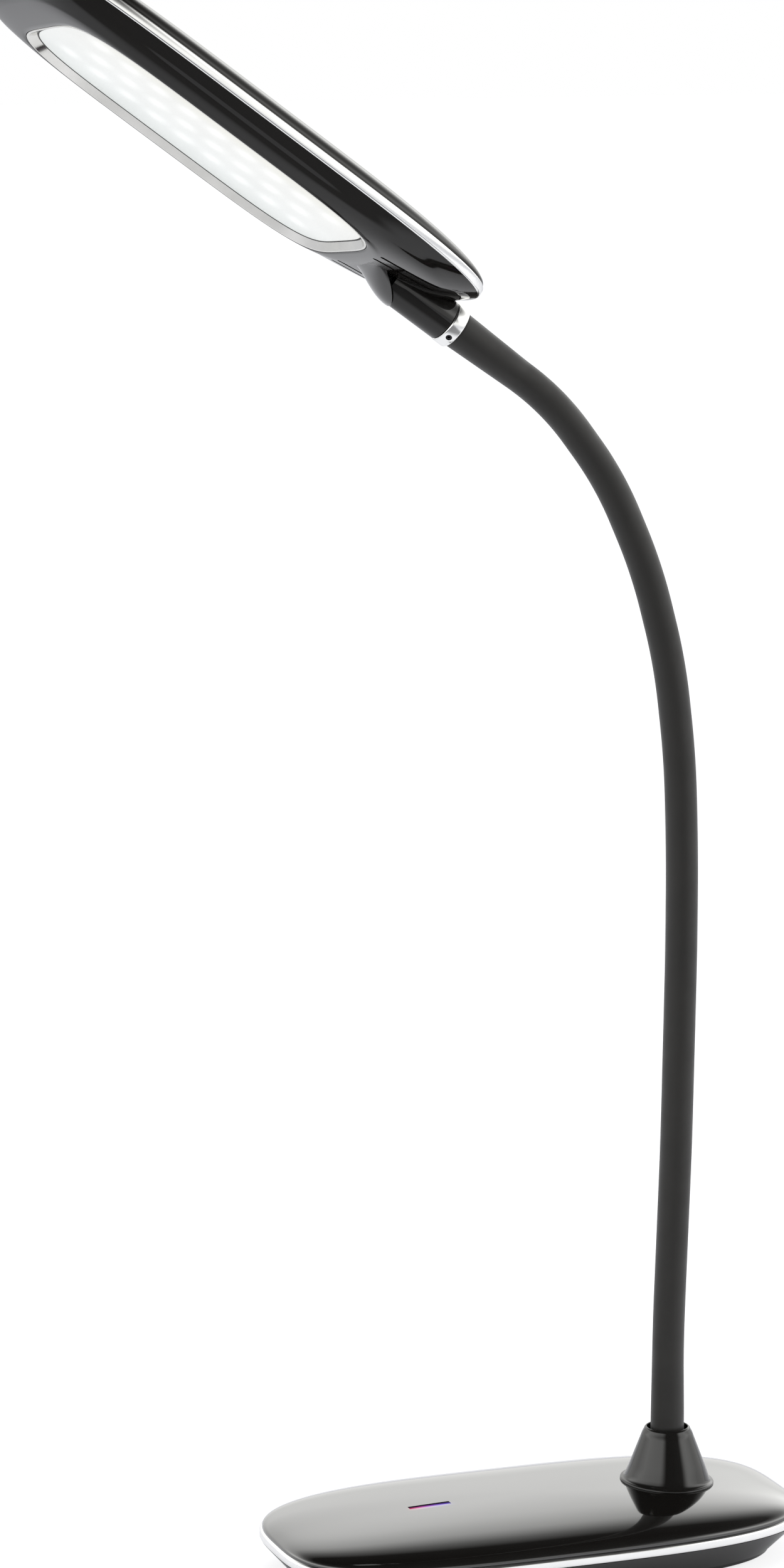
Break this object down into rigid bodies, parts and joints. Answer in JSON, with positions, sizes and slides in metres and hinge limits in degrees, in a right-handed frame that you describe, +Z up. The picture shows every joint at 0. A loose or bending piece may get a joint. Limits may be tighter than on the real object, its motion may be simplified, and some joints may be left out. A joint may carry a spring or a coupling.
{
  "type": "gooseneck desk lamp",
  "caption": "LED desk lamp: flat slab head with a glowing window, flexible rubber-covered gooseneck, touch slit on a low oblong base.",
  "frame": {"origin": "middle of the base's underside, on the table top that the feet rest on", "axes": "+X towards the user, the way the head reaches; +Y to the left of someone who faces along +X; +Z up"},
  "size_m": [0.2826, 0.094, 0.5548],
  "materials": {
    "black_gloss": "high-gloss moulded black, light-reflecting",
    "trim_metal": "polished silver trim",
    "rubber_sleeve": "matte soft-touch black rubber",
    "hose_steel": "plain wound steel",
    "ballast_steel": "raw dark steel",
    "screw_steel": "zinc-plated steel",
    "brass": "plain brass",
    "foot_rubber": "matte black",
    "board": "green laminate",
    "white_board": "white solder mask",
    "led": "white package with yellow phosphor",
    "lens": "tinted translucent, lit violet",
    "diffuser": "opal white, lit",
    "inlet_black": "matte black",
    "wire": "insulated wire",
    "spreader": "plain aluminium",
    "fitting": "turned aluminium",
    "grub_black": "black oxide steel"
  },
  "bodies": {
    "base": {"base_top_shell": "black_gloss", "base_trim": "trim_metal", "base_lower_shell": "black_gloss", "ballast_plate": "ballast_steel", "base_feet": "foot_rubber", "base_screws": "screw_steel", "touch_lens": "lens", "touch_board": "board", "touch_leds": "led", "touch_screws": "screw_steel", "driver_board": "board", "power_inlet": "inlet_black", "base_wires": "wire", "neck_collar": "black_gloss", "neck_ferrule": "fitting", "neck_washer": "screw_steel", "neck_nut": "brass", "neck_hose_0": "hose_steel", "neck_sleeve_0": "rubber_sleeve"},
    "neck_1": {"neck_hose_1": "hose_steel", "neck_sleeve_1": "rubber_sleeve"},
    "neck_2": {"neck_hose_2": "hose_steel", "neck_sleeve_2": "rubber_sleeve"},
    "neck_3": {"neck_hose_3": "hose_steel", "neck_sleeve_3": "rubber_sleeve"},
    "neck_4": {"neck_hose_4": "hose_steel", "neck_sleeve_4": "rubber_sleeve"},
    "neck_5": {"neck_hose_5": "hose_steel", "neck_sleeve_5": "rubber_sleeve"},
    "neck_6": {"neck_hose_6": "hose_steel", "neck_sleeve_6": "rubber_sleeve"},
    "neck_7": {"neck_hose_7": "hose_steel", "neck_sleeve_7": "rubber_sleeve"},
    "neck_8": {"neck_hose_8": "hose_steel", "neck_sleeve_8": "rubber_sleeve"},
    "neck_9": {"neck_hose_9": "hose_steel", "neck_sleeve_9": "rubber_sleeve"},
    "neck_10": {"neck_hose_10": "hose_steel", "neck_sleeve_10": "rubber_sleeve"},
    "neck_11": {"neck_hose_11": "hose_steel", "neck_sleeve_11": "rubber_sleeve"},
    "head": {"neck_hose_12": "hose_steel", "neck_sleeve_12": "rubber_sleeve", "head_ferrule": "fitting", "head_ring": "trim_metal", "ring_screw": "grub_black", "head_barrel": "black_gloss", "barrel_clamp": "fitting", "clamp_screws": "screw_steel", "head_lower_shell": "black_gloss", "head_trim": "trim_metal", "head_upper_shell": "black_gloss", "led_bezel": "trim_metal", "diffuser": "diffuser", "led_board": "white_board", "leds": "led", "heat_spreader": "spreader", "board_screws": "screw_steel", "head_wires": "wire"}
  },
  "joints": [
    {"name": "fore_bend_1", "type": "hinge", "parent": "base", "child": "neck_1", "pos_m": [-0.0505, 0, 0.05663], "axis": [0, 1, 0], "range_deg": [-12, 10]},
    {"name": "fore_bend_2", "type": "hinge", "parent": "neck_1", "child": "neck_2", "pos_m": [-0.05097, 0, 0.09012], "axis": [0, 1, 0], "range_deg": [-14, 10]},
    {"name": "side_bend_3", "type": "hinge", "parent": "neck_2", "child": "neck_3", "pos_m": [-0.05214, 0, 0.1236], "axis": [0.9994, 0, 0.0349], "range_deg": [-20, 20]},
    {"name": "fore_bend_4", "type": "hinge", "parent": "neck_3", "child": "neck_4", "pos_m": [-0.05307, 0, 0.15709], "axis": [0, 1, 0], "range_deg": [-14, 10]},
    {"name": "fore_bend_5", "type": "hinge", "parent": "neck_4", "child": "neck_5", "pos_m": [-0.05366, 0, 0.19058], "axis": [0, 1, 0], "range_deg": [-14, 10]},
    {"name": "fore_bend_6", "type": "hinge", "parent": "neck_5", "child": "neck_6", "pos_m": [-0.05401, 0, 0.22408], "axis": [0, 1, 0], "range_deg": [-16, 10]},
    {"name": "side_bend_7", "type": "hinge", "parent": "neck_6", "child": "neck_7", "pos_m": [-0.05354, 0, 0.25757], "axis": [0.9994, 0, -0.0349], "range_deg": [-20, 20]},
    {"name": "fore_bend_8", "type": "hinge", "parent": "neck_7", "child": "neck_8", "pos_m": [-0.05119, 0, 0.29098], "axis": [0, 1, 0], "range_deg": [-20, 10]},
    {"name": "fore_bend_9", "type": "hinge", "parent": "neck_8", "child": "neck_9", "pos_m": [-0.04525, 0, 0.32391], "axis": [0, 1, 0], "range_deg": [-24, 8]},
    {"name": "fore_bend_10", "type": "hinge", "parent": "neck_9", "child": "neck_10", "pos_m": [-0.03457, 0, 0.35562], "axis": [0, 1, 0], "range_deg": [-26, 6]},
    {"name": "side_bend_11", "type": "hinge", "parent": "neck_10", "child": "neck_11", "pos_m": [-0.01825, 0, 0.38477], "axis": [0.7986, 0, -0.6018], "range_deg": [-20, 20]},
    {"name": "fore_bend_12", "type": "hinge", "parent": "neck_11", "child": "head", "pos_m": [0.00485, 0, 0.40881], "axis": [0, 1, 0], "range_deg": [-20, 6]}
  ]
}
